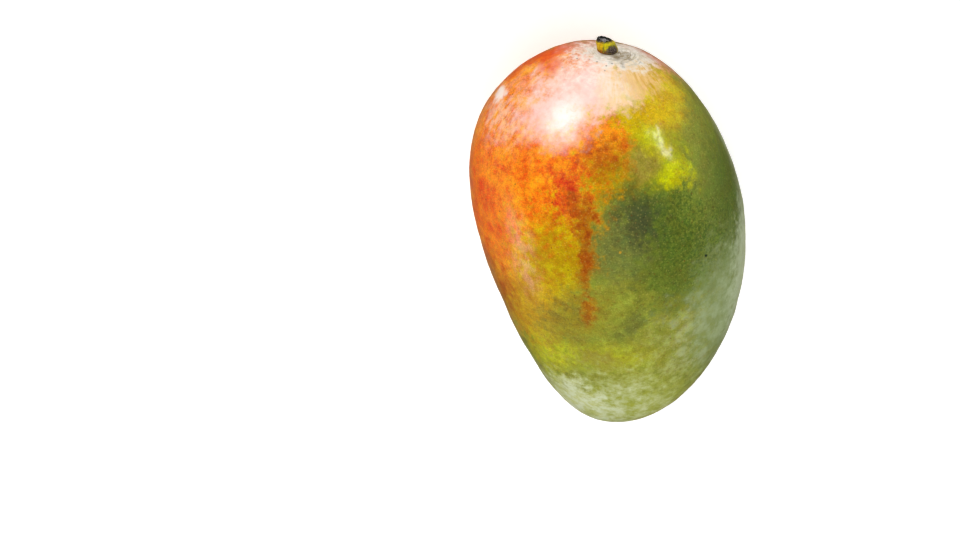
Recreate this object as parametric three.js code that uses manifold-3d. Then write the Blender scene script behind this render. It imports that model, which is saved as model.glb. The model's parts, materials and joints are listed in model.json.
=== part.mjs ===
// A ripe mango lying on its flatter cheek, with the short woody stub of its stem.
// Millimetres, +Z up. The stem end points to +Y, the tip to -Y, and the broad cheek faces up.
// The origin is on the surface it lies on, under the middle of its bounding box.

import * as THREE from "three";
import { mergeVertices } from "three/addons/utils/BufferGeometryUtils.js";
import Module from "manifold-3d";

const wasm = await Module();
wasm.setup();

// ---- driving dimensions ---------------------------------------------------

// The fruit, before it is laid down: length along Y, breadth along X, thickness along Z.
const HALF_LENGTH = 64.1;
const HALF_BREADTH = 42.55;
const HALF_THICKNESS = 37.45;

// Cubic terms in t, which runs from -1 at the tip to +1 at the stem.
const GIRTH_TERMS = [0.155, -0.018, -0.08]; // share by which a cross-section is wider
const MIDLINE_TERMS = [-0.227, 0.019, 0.17]; // sideways bow of the middle line, in half breadths
const BELLY_RISE = 0.032; // how far the widest section sits towards the stem, in half lengths
const SHOULDER_RISE = 0.071; // the -X shoulder stands higher beside the stem, in half lengths
const HIP_DROP = 0.054; // the same slant at the tip, the other way round

// The shallow basin that the stem stands in, a little above the middle of the end.
const STEM_OFFSET = 2.2;
const STEM_AZIMUTH = THREE.MathUtils.degToRad(80); // 90 is straight above the middle, 0 towards +X
const BASIN_DEPTH = 1.15;
const BASIN_RADIUS = 7.5;

// The small scar at the very tip.
const TIP_SCAR_DEPTH = 0.5;
const TIP_SCAR_RADIUS = 2.6;

// Broad, shallow swellings of the skin: height, waves round the girth, waves along the length, phase.
const SWELLINGS = [
  { height: 0.34, round: 2, along: 3, phase: 4.9 },
  { height: 0.26, round: 3, along: 4, phase: 1.2 },
  { height: 0.18, round: 5, along: 5, phase: 5 },
];

// How it lies: the stem end is lifted, and the flesh is pressed flat where it bears.
const REST_PITCH = THREE.MathUtils.degToRad(6.5);
const FLAT_DEPTH = 0.6;

// The stem stub: its own axis is +Y, and its foot is level with the bottom of the basin at y = 0.
const STUB_HEIGHT = 3.8;
const STUB_COLLAR_RADIUS = 3.2;
const STUB_BODY_RADIUS = 3;
const STUB_BREAK_RADIUS = 2.45;
const STUB_ROOT_RADIUS = 2.3;
const STUB_ROOT_DEPTH = 1.8;
const STUB_LEAN = THREE.MathUtils.degToRad(14); // towards -X
const STUB_RIBS = 4;
const STUB_RIB_HEIGHT = 0.15;
const BREAK_SLANT = 0.14; // rise of the broken end per millimetre towards -X
const BREAK_ROUGHNESS = 0.2;
const CLEARANCE = 0.3; // between the stub and the fruit

// Fineness of the meshes.
const GIRTH_STEPS = 72;
const LENGTH_STEPS = 54;
const STUB_STEPS = 30;
const RING_CROWDING = 0.35; // 0 spaces the rings evenly, more draws them towards both ends

// ---- helpers --------------------------------------------------------------

const cubic = ([a, b, c], t) => a * t + b * t ** 2 + c * t ** 3;
const bell = (distance, reach) => Math.exp(-((distance / reach) ** 2));

/** Calls place(vertex) on every vertex of a geometry, and stores what it changes. */
function reshape(geometry, place) {
  const positions = geometry.getAttribute("position");
  const vertex = new THREE.Vector3();
  for (let i = 0; i < positions.count; i++) {
    vertex.fromBufferAttribute(positions, i);
    place(vertex);
    positions.setXYZ(i, vertex.x, vertex.y, vertex.z);
  }
  return geometry;
}

/** A closed geometry as a manifold-3d solid. */
function toSolid(geometry) {
  const bare = geometry.clone();
  bare.deleteAttribute("normal");
  bare.deleteAttribute("uv");
  const merged = mergeVertices(bare, 1e-4);
  return new wasm.Manifold(
    new wasm.Mesh({
      numProp: 3,
      vertProperties: new Float32Array(merged.getAttribute("position").array),
      triVerts: new Uint32Array(merged.index.array),
    }),
  );
}

/** A manifold-3d solid as a geometry with normals. */
function toGeometry(solid) {
  const mesh = solid.getMesh();
  const geometry = new THREE.BufferGeometry();
  geometry.setAttribute("position", new THREE.BufferAttribute(mesh.vertProperties, 3));
  geometry.setIndex(new THREE.BufferAttribute(mesh.triVerts, 1));
  geometry.computeVertexNormals();
  return geometry;
}

// ---- the fruit ------------------------------------------------------------

/** A point of the bare fruit form: polar is 0 at the stem end and pi at the tip, round is 0 at +X. */
function formPoint(polar, round, target) {
  const t = Math.cos(polar);
  const ring = Math.sin(polar);
  const girth = ring * (1 + cubic(GIRTH_TERMS, t));
  const slant = (-SHOULDER_RISE * (1 + t)) / 2 + (HIP_DROP * (1 - t)) / 2;
  return target.set(
    HALF_BREADTH * (girth * Math.cos(round) + cubic(MIDLINE_TERMS, t)),
    HALF_LENGTH * (t + BELLY_RISE * ring ** 2 + ring * Math.cos(round) * slant),
    HALF_THICKNESS * girth * Math.sin(round),
  );
}

/** How far the swellings lift the skin at a point of the form. */
function swelling(polar, round) {
  const lift = SWELLINGS.reduce(
    (sum, s) => sum + s.height * Math.sin(s.along * polar + s.phase) * Math.cos(s.round * round + s.phase),
    0,
  );
  return lift * Math.sin(polar) ** 2;
}

const stemFoot = formPoint(STEM_OFFSET / HALF_THICKNESS, STEM_AZIMUTH, new THREE.Vector3());
stemFoot.y -= BASIN_DEPTH;
const tip = formPoint(Math.PI, 0, new THREE.Vector3());

/** The whole skin: form, swellings, stem basin and tip scar. */
function fruitSkin() {
  const outward = new THREE.Vector3();
  return reshape(new THREE.SphereGeometry(1, GIRTH_STEPS, LENGTH_STEPS), (vertex) => {
    const even = Math.acos(THREE.MathUtils.clamp(vertex.y, -1, 1));
    const polar = even - (RING_CROWDING / 2) * Math.sin(2 * even);
    const round = Math.atan2(vertex.z, vertex.x);
    outward.copy(vertex);
    formPoint(polar, round, vertex);
    vertex.addScaledVector(outward, swelling(polar, round));
    const fromStem = Math.hypot(vertex.x - stemFoot.x, vertex.z - stemFoot.z);
    const fromTip = Math.hypot(vertex.x - tip.x, vertex.z - tip.z);
    if (polar < Math.PI / 2) vertex.y -= BASIN_DEPTH * bell(fromStem, BASIN_RADIUS);
    else vertex.y += TIP_SCAR_DEPTH * bell(fromTip, TIP_SCAR_RADIUS);
  });
}

/** The slab of table under the laid fruit, in the fruit's own frame. It cuts the flat spot. */
function tableSlab(skin) {
  const laid = skin.clone().rotateX(REST_PITCH);
  laid.computeBoundingBox();
  const size = 3 * HALF_LENGTH;
  const top = laid.boundingBox.min.z + FLAT_DEPTH;
  return new THREE.BoxGeometry(size, size, size).translate(0, 0, top - size / 2).rotateX(-REST_PITCH);
}

/** The plain hole that the root of the stub stands in. */
function stubSocket() {
  const above = STUB_HEIGHT;
  const depth = STUB_ROOT_DEPTH + CLEARANCE;
  const radius = STUB_ROOT_RADIUS + CLEARANCE;
  return new THREE.CylinderGeometry(radius, radius, depth + above, STUB_STEPS)
    .translate(0, (above - depth) / 2, 0)
    .translate(stemFoot.x, stemFoot.y, stemFoot.z);
}

function makeFruit() {
  const skin = fruitSkin();
  const solid = toSolid(skin).subtract(toSolid(tableSlab(skin))).subtract(toSolid(stubSocket()));
  const material = new THREE.MeshStandardMaterial({ color: 0xb98a2a, roughness: 0.38, metalness: 0 });
  const fruit = new THREE.Mesh(toGeometry(solid), material);
  fruit.name = "fruit";
  return fruit;
}

// ---- the stem stub --------------------------------------------------------

/** Profile of the stub from the foot of its root, up the outside, to the middle of the broken end. */
function stubProfile() {
  const collarFoot = 1.5 * CLEARANCE;
  return [
    [0, -STUB_ROOT_DEPTH],
    [STUB_ROOT_RADIUS, -STUB_ROOT_DEPTH],
    [STUB_ROOT_RADIUS, collarFoot],
    [STUB_COLLAR_RADIUS, collarFoot],
    [STUB_COLLAR_RADIUS, 0.3 * STUB_HEIGHT],
    [STUB_BODY_RADIUS, 0.45 * STUB_HEIGHT],
    [STUB_BODY_RADIUS, 0.65 * STUB_HEIGHT],
    [0.97 * STUB_BODY_RADIUS, 0.8 * STUB_HEIGHT],
    [STUB_BREAK_RADIUS, STUB_HEIGHT],
    [0.66 * STUB_BREAK_RADIUS, 0.94 * STUB_HEIGHT],
    [0.33 * STUB_BREAK_RADIUS, 0.97 * STUB_HEIGHT],
    [0, 0.9 * STUB_HEIGHT],
  ].map(([radius, height]) => new THREE.Vector2(radius, height));
}

// The skin falls away from the stem's foot towards +X and +Z, by these slopes. The collar follows it.
const FOOT_SLOPE_X = (SHOULDER_RISE * HALF_LENGTH) / HALF_BREADTH;
const FOOT_SLOPE_Z = (STEM_OFFSET * HALF_LENGTH) / HALF_THICKNESS ** 2;

/** Slant of the foot, ribs on the sides, slant and roughness of the broken end, and the lean. */
function weatherStub(vertex) {
  if (vertex.y < 0) return;
  const radius = Math.hypot(vertex.x, vertex.z);
  const round = Math.atan2(vertex.z, vertex.x);
  const up = THREE.MathUtils.smoothstep(vertex.y, 0.1 * STUB_HEIGHT, STUB_HEIGHT);
  const ribs = 1 + (STUB_RIB_HEIGHT / STUB_BODY_RADIUS) * Math.cos(STUB_RIBS * round + 2 * up) * up;
  const jag = Math.sin(3 * round + 0.4) + 0.6 * Math.sin(7 * round + 2);
  vertex.x *= ribs;
  vertex.z *= ribs;
  vertex.y += up * (-BREAK_SLANT * vertex.x + (BREAK_ROUGHNESS * jag * radius) / STUB_BODY_RADIUS);
  vertex.y -= (1 - up) * (FOOT_SLOPE_X * vertex.x + FOOT_SLOPE_Z * vertex.z);
  vertex.x -= Math.tan(STUB_LEAN) * vertex.y;
}

function makeStub() {
  const geometry = reshape(new THREE.LatheGeometry(stubProfile(), STUB_STEPS), weatherStub);
  const material = new THREE.MeshStandardMaterial({ color: 0x8a7420, roughness: 0.75, metalness: 0 });
  const stub = new THREE.Mesh(geometry, material);
  stub.name = "stem_stub";
  stub.position.copy(stemFoot);
  return stub;
}

// ---- the laid mango -------------------------------------------------------

const laid = new THREE.Group();
laid.rotation.x = REST_PITCH;
laid.add(makeFruit(), makeStub());

const mango = new THREE.Group();
mango.add(laid);
mango.updateMatrixWorld(true);

const box = new THREE.Box3().setFromObject(mango, true);
const middle = box.getCenter(new THREE.Vector3());
laid.position.set(-middle.x, -middle.y, -box.min.z);

export default mango;
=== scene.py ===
"""Looks, light and camera for a ripe mango that lies on its flatter cheek.

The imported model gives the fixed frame: metres, +Z up, the stem end towards +Y, the fuller side
towards +X. Two pieces stand for its two nodes: the fruit's skin and the stub of its stem.
Lengths are in metres, and angles in degrees unless a name says otherwise.
"""

from __future__ import annotations

import json
import logging
import math
from collections.abc import Callable, Sequence
from dataclasses import dataclass, field
from enum import Enum

import bpy
from mathutils import Matrix, Quaternion, Vector, noise

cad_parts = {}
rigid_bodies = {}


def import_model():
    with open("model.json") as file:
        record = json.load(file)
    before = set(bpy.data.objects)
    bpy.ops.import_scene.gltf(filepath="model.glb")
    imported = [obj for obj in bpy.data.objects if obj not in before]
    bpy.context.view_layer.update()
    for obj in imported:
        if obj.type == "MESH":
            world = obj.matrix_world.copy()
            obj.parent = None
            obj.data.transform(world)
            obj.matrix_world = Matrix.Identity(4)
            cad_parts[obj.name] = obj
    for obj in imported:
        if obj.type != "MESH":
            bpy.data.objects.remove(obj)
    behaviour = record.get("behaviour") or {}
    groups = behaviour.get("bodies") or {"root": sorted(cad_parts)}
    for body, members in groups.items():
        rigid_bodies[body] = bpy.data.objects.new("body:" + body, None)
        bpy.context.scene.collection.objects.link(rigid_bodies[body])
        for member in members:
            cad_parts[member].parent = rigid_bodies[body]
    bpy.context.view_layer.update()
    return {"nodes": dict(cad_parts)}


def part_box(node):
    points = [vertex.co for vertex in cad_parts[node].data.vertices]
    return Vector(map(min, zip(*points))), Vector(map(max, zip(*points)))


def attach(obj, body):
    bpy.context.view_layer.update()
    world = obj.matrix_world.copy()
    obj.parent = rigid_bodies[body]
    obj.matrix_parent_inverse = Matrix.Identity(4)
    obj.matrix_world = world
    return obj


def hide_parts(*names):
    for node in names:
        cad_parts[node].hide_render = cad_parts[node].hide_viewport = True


LOG = logging.getLogger("mango")
MM = 0.001

Rgb = tuple[float, float, float]
Triple = tuple[float, float, float]
Socket = bpy.types.NodeSocket
Feed = float | Sequence[float] | Socket


class Node(Enum):
    """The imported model's nodes."""

    FRUIT = "fruit"
    STUB = "stem_stub"


class Slot(Enum):
    """The record's material slots."""

    SKIN = "skin"
    STEM = "stem"


# ---- landmarks of the fruit, in the row frame ---------------------------------------------


@dataclass(frozen=True)
class Landmarks:
    """Places on the laid fruit that several pieces share.

    Attributes:
        middle: Middle of the fruit's own form, before it was laid down.
        pitch: Angle by which the stem end is lifted.
        stem_foot: Middle of the basin that the stem stands in.
    """

    middle: Vector = field(default_factory=lambda: Vector((1.13, -1.36, 36.12)) * MM)
    pitch: float = 6.5
    stem_foot: Vector = field(default_factory=lambda: Vector((-0.05, 60.78, 45.5)) * MM)

    def stem_axis(self) -> Vector:
        """Unit vector out of the stem end, along the fruit's long axis."""
        lift = math.radians(self.pitch)
        return Vector((0.0, math.cos(lift), math.sin(lift)))


# ---- working in edit mode -----------------------------------------------------------------


def only(piece: bpy.types.Object) -> bpy.types.Object:
    """Makes one object the only selected one, and the active one.

    Args:
        piece: The object to work on.

    Returns:
        The same object.
    """
    for other in bpy.context.view_layer.objects:
        other.select_set(other == piece)
    bpy.context.view_layer.objects.active = piece
    return piece


def pick_vertices(piece: bpy.types.Object, wanted: Callable[[Vector], bool]) -> int:
    """Selects a piece's vertices by their place. It is called, and returns, in edit mode.

    Args:
        piece: The object in edit mode.
        wanted: Says whether a vertex at this place is selected.

    Returns:
        How many vertices are selected.
    """
    bpy.ops.mesh.select_mode(type="VERT")
    bpy.ops.mesh.select_all(action="DESELECT")
    bpy.ops.object.mode_set(mode="OBJECT")
    count = 0
    for vertex in piece.data.vertices:
        vertex.select = wanted(vertex.co)
        count += vertex.select
    bpy.ops.object.mode_set(mode="EDIT")
    return count


def apply_modifier(piece: bpy.types.Object, kind: str, **settings: object) -> None:
    """Adds a modifier to a piece and applies it at once.

    Args:
        piece: The object, in object mode.
        kind: The modifier's type, such as SMOOTH.
        **settings: The modifier's own settings.
    """
    modifier = only(piece).modifiers.new(kind.lower(), kind)
    for name, value in settings.items():
        setattr(modifier, name, value)
    bpy.ops.object.modifier_apply(modifier=modifier.name)


def settle(piece: bpy.types.Object) -> None:
    """Puts a piece's place, turn and scale into its mesh, so that its object sits at the origin."""
    only(piece)
    bpy.ops.object.transform_apply(location=True, rotation=True, scale=True)


# ---- node trees ---------------------------------------------------------------------------


@dataclass(frozen=True)
class Grain:
    """The noise that a pattern is made of.

    Attributes:
        size: Breadth of its blotches, in millimetres.
        detail: How many finer layers lie on it.
        rough: How strong each finer layer is, as a share of the one before.
        span: Levels of the noise between which the pattern goes from 0 to 1.
    """

    size: float
    detail: float
    rough: float
    span: tuple[float, float] = (0.0, 1.0)


class NodeSheet:
    """A material's node tree, with a short method for each kind of step that the finishes use."""

    def __init__(self, name: str) -> None:
        """Starts an empty tree.

        Args:
            name: The material's name.
        """
        self.material = bpy.data.materials.new(name)
        self.material.use_nodes = True
        self.tree = self.material.node_tree
        self.tree.nodes.clear()

    def add(self, kind: str, **settings: object) -> bpy.types.Node:
        """Adds a node.

        Args:
            kind: The node's type name.
            **settings: Its properties, other than its sockets.

        Returns:
            The new node.
        """
        node = self.tree.nodes.new(kind)
        for name, value in settings.items():
            setattr(node, name, value)
        return node

    def feed(self, socket: Socket, value: Feed) -> None:
        """Links a socket to another one, or sets its own value."""
        if isinstance(value, Socket):
            self.tree.links.new(value, socket)
        else:
            socket.default_value = value

    def object_place(self) -> Socket:
        """The place of a point of the piece, in metres."""
        return self.add("ShaderNodeTexCoord").outputs["Object"]

    def within(self, place: Socket, centre: Triple, turn: Triple, reach: Triple) -> Socket:
        """Place as seen from a centre, turned and measured in reaches.

        Args:
            place: The place to map.
            centre: Where the result is zero.
            turn: Turn of the measuring frame about X, Y and Z.
            reach: Length of one unit along each of the frame's axes.

        Returns:
            The mapped place.
        """
        node = self.add("ShaderNodeMapping", vector_type="TEXTURE")
        self.feed(node.inputs["Vector"], place)
        node.inputs["Location"].default_value = centre
        node.inputs["Rotation"].default_value = [math.radians(angle) for angle in turn]
        node.inputs["Scale"].default_value = reach
        return node.outputs["Vector"]

    def vector(self, operation: str, a: Feed, b: Feed | None = None) -> Socket:
        """A vector calculation. LENGTH gives a number, every other one a vector."""
        node = self.add("ShaderNodeVectorMath", operation=operation)
        self.feed(node.inputs[0], a)
        if b is not None:
            self.feed(node.inputs["Scale" if operation == "SCALE" else 1], b)
        return node.outputs["Value" if operation == "LENGTH" else "Vector"]

    def number(self, operation: str, a: Feed, b: Feed) -> Socket:
        """A calculation on two numbers."""
        node = self.add("ShaderNodeMath", operation=operation)
        self.feed(node.inputs[0], a)
        self.feed(node.inputs[1], b)
        return node.outputs[0]

    def rise(self, value: Feed, low: float, high: float, top: float = 1.0, foot: float = 0.0) -> Socket:
        """Goes smoothly from foot at low to top at high. Low may be the larger one."""
        node = self.add("ShaderNodeMapRange", interpolation_type="SMOOTHSTEP")
        for name, amount in (("From Min", low), ("From Max", high), ("To Min", foot), ("To Max", top)):
            node.inputs[name].default_value = amount
        self.feed(node.inputs["Value"], value)
        return node.outputs["Result"]

    def noise(self, place: Socket, grain: Grain) -> Socket:
        """Noise from 0 to 1, of a place in millimetres."""
        node = self.add("ShaderNodeTexNoise")
        self.feed(node.inputs["Vector"], place)
        node.inputs["Scale"].default_value = 1.0 / grain.size
        node.inputs["Detail"].default_value = grain.detail
        node.inputs["Roughness"].default_value = grain.rough
        return node.outputs["Fac"]

    def pattern(self, place: Socket, grain: Grain) -> Socket:
        """Noise with its contrast raised to the grain's span."""
        return self.rise(self.noise(place, grain), *grain.span)

    def cells(self, place: Socket, spacing: float) -> Socket:
        """Distance from the nearest of many points that lie about spacing apart."""
        node = self.add("ShaderNodeTexVoronoi")
        self.feed(node.inputs["Vector"], place)
        node.inputs["Scale"].default_value = 1.0 / spacing
        return node.outputs["Distance"]

    def blend(self, share: Feed, under: Feed, over: Feed, mode: str = "MIX") -> Socket:
        """Lays one colour over another.

        Args:
            share: How much of the upper colour shows, from 0 to 1.
            under: The lower colour.
            over: The upper colour.
            mode: Blender's name of the blend.

        Returns:
            The result.
        """
        node = self.add("ShaderNodeMix", data_type="RGBA", blend_type=mode)
        self.feed(node.inputs["Factor"], share)
        self.feed(node.inputs[6], under if isinstance(under, Socket) else (*under, 1.0))
        self.feed(node.inputs[7], over if isinstance(over, Socket) else (*over, 1.0))
        return node.outputs[2]

    def bump(self, strength: float, height: float) -> bpy.types.Node:
        """A bump node whose full height is given in millimetres."""
        node = self.add("ShaderNodeBump")
        node.inputs["Strength"].default_value = strength
        node.inputs["Distance"].default_value = height * MM
        return node

    def finish(self, surface: bpy.types.Node) -> bpy.types.Material:
        """Ends the tree in this shader node, and gives the material."""
        output = self.add("ShaderNodeOutputMaterial")
        self.tree.links.new(surface.outputs[0], output.inputs["Surface"])
        return self.material


# ---- colours and blots --------------------------------------------------------------------


def paint(red: int, green: int, blue: int) -> Rgb:
    """A paint-box colour, 0 to 255 as screens show it, as the linear one that shaders take."""
    return tuple(((share / 255 + 0.055) / 1.055) ** 2.4 for share in (red, green, blue))


class Fleck(Enum):
    """Patterns in which a blot's two tones mix."""

    STREAKS = "streaks from stem to tip"
    RINGS = "broken rings round the stem"
    SPECKS = "scattered specks"
    GRAIN = "fine grain"
    CLOUDS = "small clouds"
    DRIFTS = "wide soft clouds"


# The specks are dots and not noise, so they have no grain here.
FLECK_GRAINS = {
    Fleck.STREAKS: Grain(1.9, 4.0, 0.62, (0.38, 0.62)),
    Fleck.RINGS: Grain(0.7, 3.0, 0.6, (0.46, 0.6)),
    Fleck.GRAIN: Grain(0.85, 3.0, 0.7, (0.35, 0.68)),
    Fleck.CLOUDS: Grain(2.1, 5.0, 0.7, (0.38, 0.64)),
    Fleck.DRIFTS: Grain(4.5, 5.0, 0.65, (0.36, 0.66)),
}


@dataclass(frozen=True)
class Blot:
    """A patch of colour.

    On the skin its place is given in millimetres in the cheek's frame: to the right, towards the
    stem end, and out of the cheek.

    Attributes:
        name: What it is.
        at: Its middle.
        reach: Its half breadth and half length.
        tones: The two colours that mix in it.
        share: How much it covers at its middle.
        fleck: The pattern in which the tones mix.
        turn: Turn of its breadth, anticlockwise as seen from outside.
        deep: Its half depth.
        edge: Softness of its edge, as a share of its reach.
        ragged: How far noise breaks its edge up, as a share of its reach.
        sparse: Whether it is laid in its flecks alone, in its first tone.
    """

    name: str
    at: Triple
    reach: tuple[float, float]
    tones: tuple[Rgb, Rgb]
    share: float = 1.0
    fleck: Fleck = Fleck.CLOUDS
    turn: float = 0.0
    deep: float = 30.0
    edge: float = 0.3
    ragged: float = 0.8
    sparse: bool = False


class Brush:
    """Lays blots over a colour, with ragged edges and flecked tones."""

    def __init__(self, sheet: NodeSheet, place: Socket, ragged: Socket, flecks: dict[Fleck, Socket]) -> None:
        """Keeps what every blot needs.

        Args:
            sheet: The node tree.
            place: The place that blots are measured in, in millimetres.
            ragged: Noise that breaks their edges up.
            flecks: The patterns that their tones mix in, from 0 to 1.
        """
        self.sheet = sheet
        self.place = place
        self.ragged = ragged
        self.flecks = flecks

    def cover(self, blot: Blot) -> Socket:
        """How much a blot covers each point.

        Args:
            blot: The patch.

        Returns:
            The share covered.
        """
        own = self.sheet.within(self.place, blot.at, (0, 0, blot.turn), (*blot.reach, blot.deep))
        away = self.sheet.add("ShaderNodeMath", operation="MULTIPLY_ADD")
        self.sheet.feed(away.inputs[0], self.ragged)
        away.inputs[1].default_value = 2 * blot.ragged
        self.sheet.feed(away.inputs[2], self.sheet.vector("LENGTH", own))
        far, near = 1.0 + blot.edge + blot.ragged, 1.0 - blot.edge + blot.ragged
        covered = self.sheet.rise(away.outputs[0], far, near, blot.share)
        if blot.sparse:
            covered = self.sheet.number("MULTIPLY", covered, self.flecks[blot.fleck])
        return covered

    def lay(self, under: Socket, *blots: Blot) -> Socket:
        """Lays blots over a colour.

        Args:
            under: The colour below.
            *blots: The patches, the lowest first.

        Returns:
            The colour with the blots on it.
        """
        for blot in blots:
            covered = self.cover(blot)
            under = self.sheet.blend(covered, under, blot.tones[0])
            if not blot.sparse:
                flecked = self.sheet.number("MULTIPLY", covered, self.flecks[blot.fleck])
                under = self.sheet.blend(flecked, under, blot.tones[1])
        return under


# ---- the skin's finish --------------------------------------------------------------------

GROUND = (paint(112, 120, 40), paint(142, 146, 48))
LEAF_GREEN = (paint(68, 90, 30), paint(112, 126, 42))
BLACK_OLIVE = (paint(58, 66, 44), paint(86, 90, 46))
GREY_OLIVE = (paint(106, 116, 56), paint(124, 128, 54))
PALE_OLIVE = (paint(142, 146, 50), paint(126, 136, 44))
HOLLOW = (paint(142, 128, 46), paint(164, 144, 60))
OLIVE = (paint(130, 110, 24), paint(154, 124, 14))
MOSS = (paint(138, 144, 20), paint(164, 158, 14))
LIME = (paint(135, 138, 46), paint(156, 160, 56))
ACID = (paint(182, 180, 0), paint(206, 202, 0))
GOLD = (paint(214, 186, 0), paint(206, 166, 0))
POOL = (paint(178, 152, 6), paint(162, 138, 10))
HONEY = (paint(200, 154, 8), paint(188, 144, 8))
OCHRE = (paint(190, 160, 2), paint(188, 112, 6))
AMBER = (paint(204, 160, 8), paint(218, 132, 10))
ORANGE = (paint(248, 148, 22), paint(242, 124, 16))
FIRE = (paint(238, 92, 14), paint(224, 82, 10))
BLUSH = (paint(248, 122, 10), paint(236, 94, 12))
EMBER = (paint(226, 92, 20), paint(206, 58, 32))
SCARLET = (paint(244, 100, 18), paint(228, 68, 12))
RUST = (paint(176, 96, 12), paint(142, 74, 18))
RUSSET = (paint(150, 130, 50), paint(124, 108, 46))
KHAKI = (paint(156, 142, 36), paint(128, 118, 40))
SAGE = (paint(132, 146, 84), paint(148, 160, 100))
FROST = (paint(162, 168, 62), paint(182, 188, 96))
PALE_FROST = (paint(204, 208, 136), paint(216, 220, 172))
RIME = (paint(212, 220, 190), paint(212, 220, 190))
# Pale green-white of bloom along the right edge, partly a painted rim reflection.
BLOOM_AND_RIM_SHEEN = (paint(198, 208, 172), paint(166, 178, 130))
HAZE = (paint(140, 156, 104), paint(164, 176, 138))
CREAM = (paint(254, 238, 204), paint(248, 206, 124))
PEACH = (paint(252, 206, 176), paint(252, 206, 176))
# Pale pink of wax near the stem, partly a painted highlight.
PINK_WAX_AND_HIGHLIGHT = (paint(250, 208, 196), paint(248, 188, 160))
# Pinkish white of a painted highlight halo, also used for wax that is partly painted highlight.
HIGHLIGHT_AND_WAX_PINK = (paint(252, 218, 212), paint(250, 204, 192))
NEAR_WHITE = (paint(254, 234, 222), paint(254, 234, 222))
APRICOT = (paint(228, 166, 56), paint(248, 212, 150))
ROSE = (paint(236, 128, 104), paint(240, 176, 152))
DUST = (paint(250, 246, 238), paint(232, 220, 204))
TAN = (paint(150, 128, 82), paint(104, 86, 54))
SOOT = (paint(120, 104, 92), paint(84, 72, 64))

GREEN_SIDE = (
    Blot("gold_saddle", (4, 38, 36), (21, 18), GOLD, 1.0, deep=45, edge=0.4, ragged=0.6),
    Blot("lower_green", (8, -28, 26), (32, 21), LIME, 0.85, Fleck.DRIFTS, edge=0.5),
    Blot("far_green", (36, 10, -8), (18, 40), LEAF_GREEN, 0.8, Fleck.GRAIN, edge=0.6),
    Blot("deep_green", (27, 6, 30), (23, 23), LEAF_GREEN, 0.95, Fleck.GRAIN, edge=0.45),
    Blot("deep_green_foot", (17, -11, 34), (10, 13), LEAF_GREEN, 0.5, Fleck.GRAIN, edge=0.6),
    Blot("shoulder_green", (32, 32, 24), (13, 22), PALE_OLIVE, 0.95, Fleck.GRAIN, edge=0.5),
    Blot("limb_green", (35, 15, 17), (10, 16), LEAF_GREEN, 0.8, Fleck.GRAIN, turn=14, deep=15, edge=0.6),
    Blot("grey_green", (1, -3, 38), (9, 10), GREY_OLIVE, 0.9, edge=0.6, ragged=1.0),
    Blot("black_heart", (7, 7.5, 41), (8, 9), BLACK_OLIVE, 0.45, turn=15, edge=0.8, ragged=2.0),
    Blot("black_heart_core", (9, 4, 41), (3.5, 5), BLACK_OLIVE, 0.8, edge=0.8, ragged=1.6),
    Blot("moss_halo", (13, 24, 41), (9, 8), MOSS, 0.9, Fleck.DRIFTS, turn=-40, edge=0.7),
    Blot("olive_bridge", (4, 21, 43), (6, 7), OLIVE, 0.85, turn=-15, edge=0.6, ragged=1.2),
    Blot("olive_hollow", (9.5, 22, 42), (4.5, 5.5), HOLLOW, 0.8, turn=-25, edge=0.7, ragged=1.0),
    Blot("acid_foot", (-20, -36, 12), (6, 10), ACID, 0.6, turn=25, edge=0.6),
    Blot("acid_band", (-4, -38, 20), (16, 4), ACID, 0.35, edge=0.7),
    Blot("smudge_left", (-13, -27, 24), (5, 3.5), OLIVE, 0.5, edge=0.7, ragged=1.4),
    Blot("smudge_right", (7, -27, 27), (5, 2.8), BLACK_OLIVE, 0.38, turn=40, edge=0.7, ragged=1.4),
    Blot("brown_smudge", (-3, -39, 18), (6, 2.5), RUSSET, 0.55, turn=-15, edge=0.7, ragged=1.4),
    Blot("gold_shoulder", (10, 42, 36), (11, 9), GOLD, 1.0, Fleck.DRIFTS, turn=-20, edge=0.5),
    Blot("acid_streak", (15, 26, 40), (9, 3), ACID, 0.8, turn=-44, edge=0.9, ragged=1.4),
    Blot("acid_drop", (18.3, 18.8, 38), (3.6, 3.8), ACID, 0.85, edge=0.9, ragged=1.4),
)

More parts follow.
